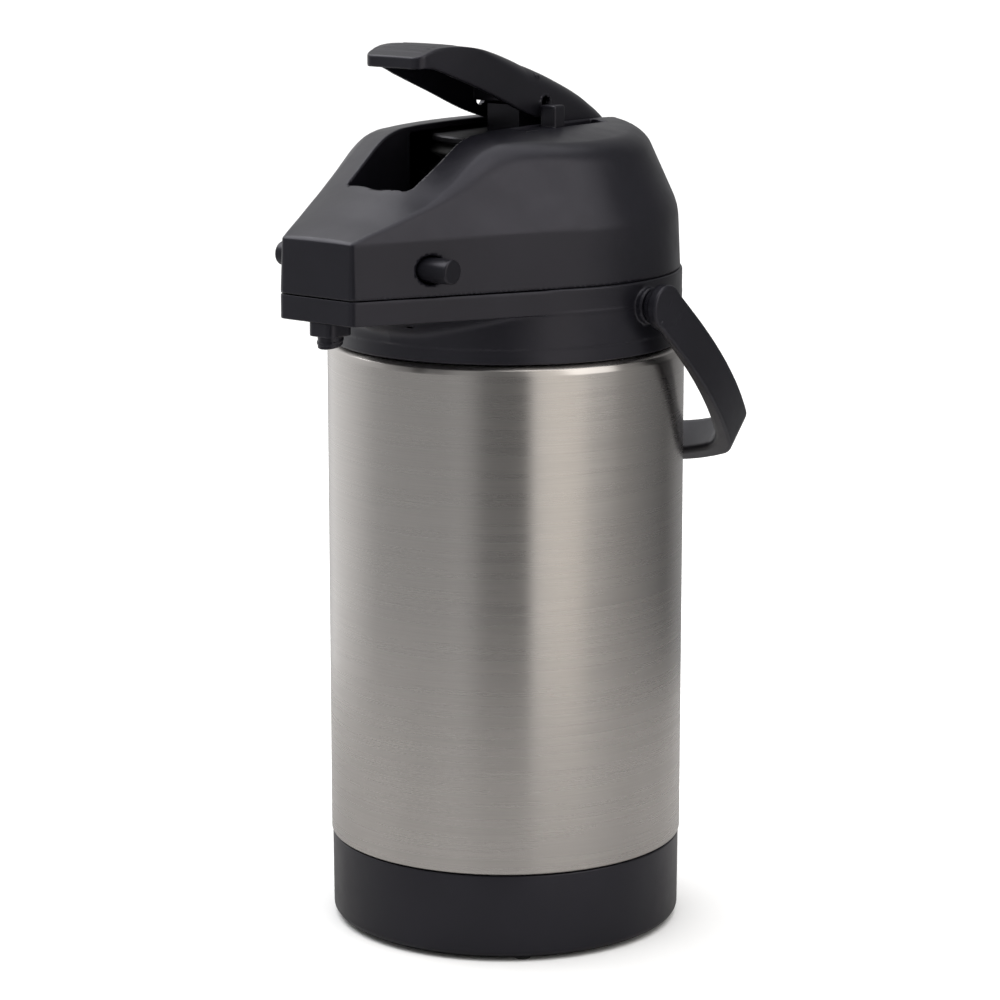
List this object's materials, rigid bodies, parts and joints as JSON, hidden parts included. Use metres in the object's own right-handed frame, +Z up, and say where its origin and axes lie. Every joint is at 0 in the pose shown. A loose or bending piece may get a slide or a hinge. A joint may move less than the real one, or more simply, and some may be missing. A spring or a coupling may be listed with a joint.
{
  "type": "lever pump pot",
  "caption": "Tall insulated pump pot with brushed steel shell, black spout collar, hinged lid with press lever, lock tab, release buttons and swing handle.",
  "frame": {"origin": "on the ground, under the centre line of the round shell", "axes": "+Z up, the spout beak points to -Y, the lid hinge is at +Y, +X is the side whose release button the picture shows"},
  "size_m": [0.202, 0.2517, 0.4464],
  "materials": {
    "brushed_steel": "fine brushing round the body, clear satin",
    "inner_steel": "drawn stainless steel, semi-bright",
    "black_plastic": "satin black polypropylene with a very fine texture",
    "lever_plastic": "satin black, slightly smoother than the lid",
    "inner_plastic": "plain moulded dark grey",
    "clear_plastic": "translucent food-safe tube",
    "rubber": "soft matt",
    "silicone": "translucent white silicone",
    "bright_steel": "plated",
    "spring_steel": "bright drawn wire"
  },
  "bodies": {
    "pot": {"outer_shell": "brushed_steel", "shell_base_plate": "inner_steel", "inner_liner": "inner_steel", "liner_support": "rubber", "base_cover": "black_plastic", "base_feet": "rubber", "base_screws": "bright_steel", "collar": "black_plastic", "handle_pivot_pins": "bright_steel", "lid_hinge_pin": "bright_steel", "neck_clamp_ring": "inner_plastic", "neck_gasket": "silicone", "flange_gasket": "silicone", "siphon_flange": "inner_plastic", "anti_spill_ball": "bright_steel", "dip_tube": "clear_plastic", "spout_pipe": "clear_plastic", "nozzle_holder": "black_plastic", "spout_nozzle": "black_plastic"},
    "lid": {"lid_cover": "black_plastic", "lever_pivot_pin": "bright_steel", "pump_housing": "inner_plastic", "lid_gasket": "silicone", "air_valve": "silicone", "lid_screws": "bright_steel", "bellows": "rubber", "return_spring": "spring_steel", "release_springs": "spring_steel", "spring_stop": "inner_plastic"},
    "lever": {"pump_lever": "lever_plastic"},
    "pusher": {"pusher_plate": "inner_plastic", "pusher_bracket": "lever_plastic"},
    "lock": {"lock_tab": "lever_plastic"},
    "button_right": {"release_button_right": "lever_plastic"},
    "button_left": {"release_button_left": "lever_plastic"},
    "handle": {"carry_handle": "black_plastic"}
  },
  "joints": [
    {"name": "lid_hinge", "type": "hinge", "parent": "pot", "child": "lid", "pos_m": [0, 0.088, 0.3345], "axis": [-1, 0, 0], "range_deg": [0, 80]},
    {"name": "lever_press", "type": "hinge", "parent": "lid", "child": "lever", "pos_m": [0, 0.06, 0.3935], "axis": [1, 0, 0], "range_deg": [0, 22], "stiffness_Nm_per_rad": 3, "springref_deg": -8.59},
    {"name": "pusher_stroke", "type": "slide", "parent": "lid", "child": "pusher", "axis": [0, 0, -1], "range_m": [0, 0.025], "deforming": ["bellows", "return_spring"]},
    {"name": "lock_slide", "type": "slide", "parent": "lid", "child": "lock", "axis": [0, 1, 0], "range_m": [0, 0.02]},
    {"name": "release_press_right", "type": "slide", "parent": "lid", "child": "button_right", "axis": [-1, 0, 0], "range_m": [0, 0.005], "stiffness_N_per_m": 600, "springref_m": -0.002},
    {"name": "release_press_left", "type": "slide", "parent": "lid", "child": "button_left", "axis": [1, 0, 0], "range_m": [0, 0.005], "stiffness_N_per_m": 600, "springref_m": -0.002},
    {"name": "handle_swing", "type": "hinge", "parent": "pot", "child": "handle", "pos_m": [0, 0, 0.3215], "axis": [1, 0, 0], "range_deg": [0, 131.5]}
  ],
  "couplings": [
    {"joint": "pusher_stroke", "follows": "lever_press", "m_per_rad": 0.063}
  ]
}
